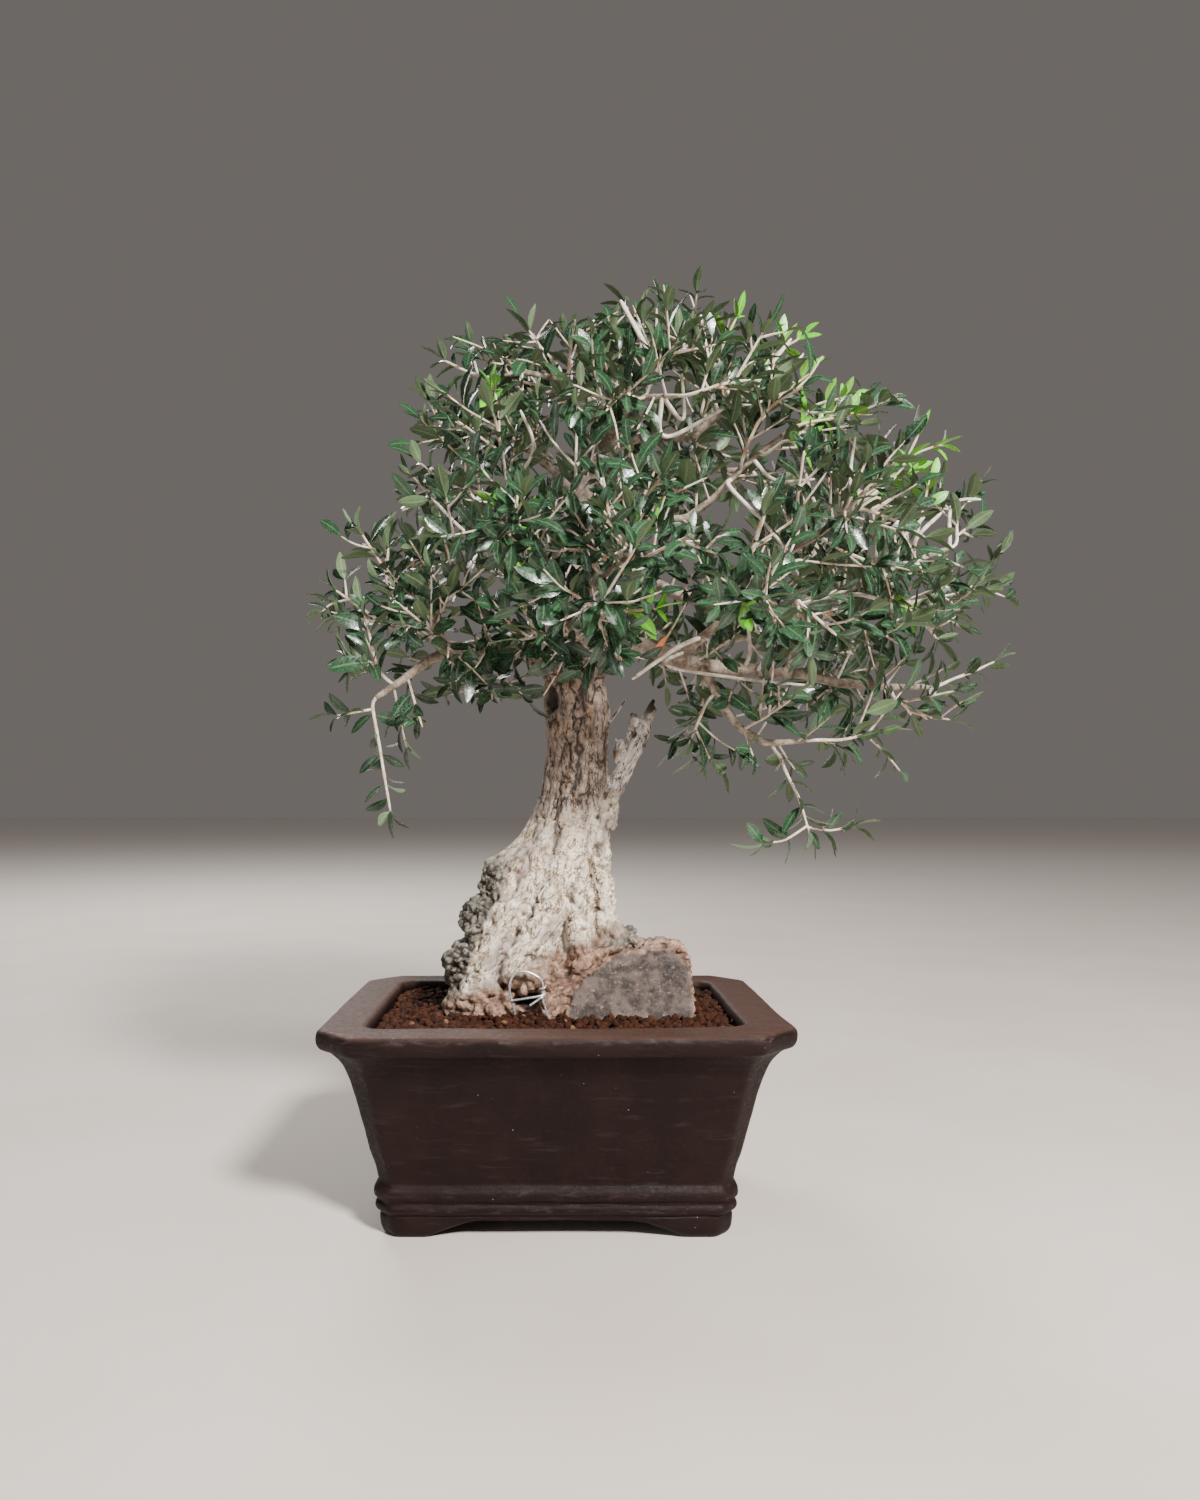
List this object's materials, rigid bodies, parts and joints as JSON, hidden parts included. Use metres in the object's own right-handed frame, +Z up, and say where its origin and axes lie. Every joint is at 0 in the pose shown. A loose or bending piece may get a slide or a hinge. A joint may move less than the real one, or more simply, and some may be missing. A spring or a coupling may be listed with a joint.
{
  "type": "olive bonsai",
  "caption": "Small trained olive tree with a flared old trunk and airy leafy crown, tied into red-brown soil in a footed rectangular clay pot.",
  "frame": {"origin": "on the surface that the pot stands on, under the middle of the whole object's box", "axes": "+Z up the trunk, +X to the right and -Y towards the front of the pot"},
  "size_m": [0.4844, 0.3572, 0.6134],
  "materials": {
    "clay": "unglazed dark brown clay, matt, with small pale specks",
    "soil": "red-brown fired clay grains, matt",
    "wood": "weathered grey-brown to cream bark, cracked and rough",
    "leaves": "dark green, semi-gloss above, pale grey-green below, with thin whitish twigs",
    "young_leaves": "bright yellow-green, semi-gloss",
    "wire": "bare drawn wire",
    "mesh": "black moulded mesh"
  },
  "bodies": {
    "root": {"drainage_mesh_left": "mesh", "drainage_mesh_right": "mesh", "pot": "clay", "soil": "soil", "spray_back_crown": "leaves", "spray_back_high": "leaves", "spray_back_low_end": "leaves", "spray_back_mid": "leaves", "spray_back_right_high": "leaves", "spray_crown_back_right": "leaves", "spray_crown_front": "leaves", "spray_crown_left": "leaves", "spray_crown_left_back": "leaves", "spray_crown_left_front": "leaves", "spray_crown_left_stub": "leaves", "spray_crown_right": "leaves", "spray_crown_right_front": "leaves", "spray_crown_top": "leaves", "spray_drop_end": "leaves", "spray_drop_left": "leaves", "spray_drop_right": "leaves", "spray_front_fork": "leaves", "spray_front_high": "leaves", "spray_front_low_end": "leaves", "spray_front_mid": "leaves", "spray_front_right_end": "leaves", "spray_hanging_twig": "leaves", "spray_left_back": "leaves", "spray_left_crown_edge": "leaves", "spray_left_far_up": "leaves", "spray_left_front": "leaves", "spray_left_high": "leaves", "spray_left_low_end": "leaves", "spray_left_low_front": "leaves", "spray_left_mid_front": "leaves", "spray_left_tip": "leaves", "spray_left_trunk_front": "leaves", "spray_left_under": "leaves", "spray_right_back": "leaves", "spray_right_back_low": "leaves", "spray_right_front": "leaves", "spray_right_front_low": "leaves", "spray_right_high_back": "leaves", "spray_right_high_end": "leaves", "spray_right_high_front": "leaves", "spray_right_low_front": "leaves", "spray_right_low_hang": "leaves", "spray_right_low_tip": "leaves", "spray_right_mid_front": "leaves", "spray_right_mid_outer": "leaves", "spray_right_outer_front": "leaves", "spray_right_tip": "leaves", "spray_right_under_mid": "leaves", "tie_wire": "wire", "trunk_and_limbs": "wood", "young_crown": "young_leaves", "young_front": "young_leaves", "young_right_arc": "young_leaves", "young_right_stub": "young_leaves", "young_top": "young_leaves"}
  },
  "joints": []
}
